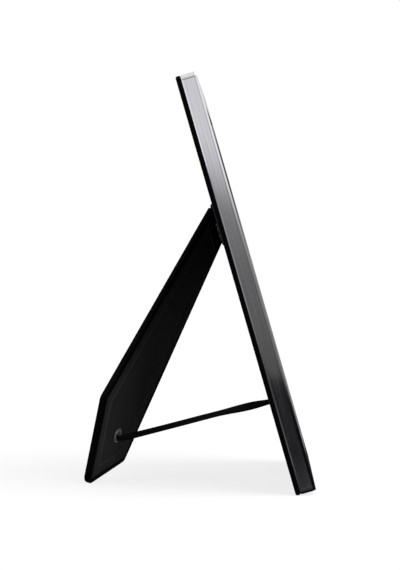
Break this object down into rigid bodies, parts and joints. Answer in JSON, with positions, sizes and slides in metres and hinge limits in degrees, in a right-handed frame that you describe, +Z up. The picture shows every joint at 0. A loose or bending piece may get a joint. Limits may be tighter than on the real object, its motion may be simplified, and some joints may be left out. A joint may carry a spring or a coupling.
{
  "type": "photo frame",
  "caption": "Slim brushed-metal tabletop photo frame with a black board back and a slanted hinged easel strut held open by a ribbon, so that it stands upright or on its side.",
  "frame": {"origin": "on the table, under the middle of the standing frame's bounding box", "axes": "+Z up, +Y out of the back towards the strut's foot, so the picture faces -Y, +X to the right of a person looking at the picture"},
  "size_m": [0.1546, 0.1138, 0.2],
  "materials": {
    "brushed_rail": "satin brushed along the rail",
    "corner_key": "moulded",
    "plated_screw": "zinc plated",
    "clear_glass": "clear float glass",
    "printed_paper": "semi-matt photo paper",
    "grey_card": "uncoated board",
    "black_cover": "fibreboard covered in black embossed paper",
    "black_hinge": "black painted steel",
    "dark_eyelet": "dark nickel",
    "plated_button": "bright zinc",
    "black_ribbon": "woven satin ribbon"
  },
  "bodies": {
    "frame": {"left_rail": "brushed_rail", "right_rail": "brushed_rail", "top_rail": "brushed_rail", "bottom_rail": "brushed_rail", "top_left_key": "corner_key", "top_right_key": "corner_key", "bottom_left_key": "corner_key", "bottom_right_key": "corner_key", "ring_screws": "plated_screw", "glass_pane": "clear_glass", "photo_print": "printed_paper", "filler_card": "grey_card", "back_ring": "black_cover", "easel_door": "black_cover", "turn_button_rivets": "plated_button", "door_hinge_leaf": "black_hinge", "hinge_pin": "black_hinge", "door_hinge_rivets": "black_hinge", "door_eyelet": "dark_eyelet", "stay_ribbon": "black_ribbon"},
    "strut": {"easel_leg": "black_cover", "leg_hinge_leaf": "black_hinge", "leg_hinge_rivets": "black_hinge", "leg_eyelet": "dark_eyelet"},
    "top_button": {"top_turn_button": "plated_button"},
    "bottom_button": {"bottom_turn_button": "plated_button"}
  },
  "joints": [
    {"name": "strut_fold", "type": "hinge", "parent": "frame", "child": "strut", "pos_m": [0.0407, -0.00812, 0.13123], "axis": [-0.8387, 0.1501, 0.5235], "range_deg": [0, 36.59], "deforming": ["stay_ribbon"]},
    {"name": "top_button_turn", "type": "hinge", "parent": "frame", "child": "top_button", "pos_m": [0, 0.00739, 0.19115], "axis": [0, 0.9613, -0.2756], "range_deg": [-90, 90]},
    {"name": "bottom_button_turn", "type": "hinge", "parent": "frame", "child": "bottom_button", "pos_m": [0, -0.04568, 0.00606], "axis": [0, 0.9613, -0.2756], "range_deg": [-90, 90]}
  ]
}
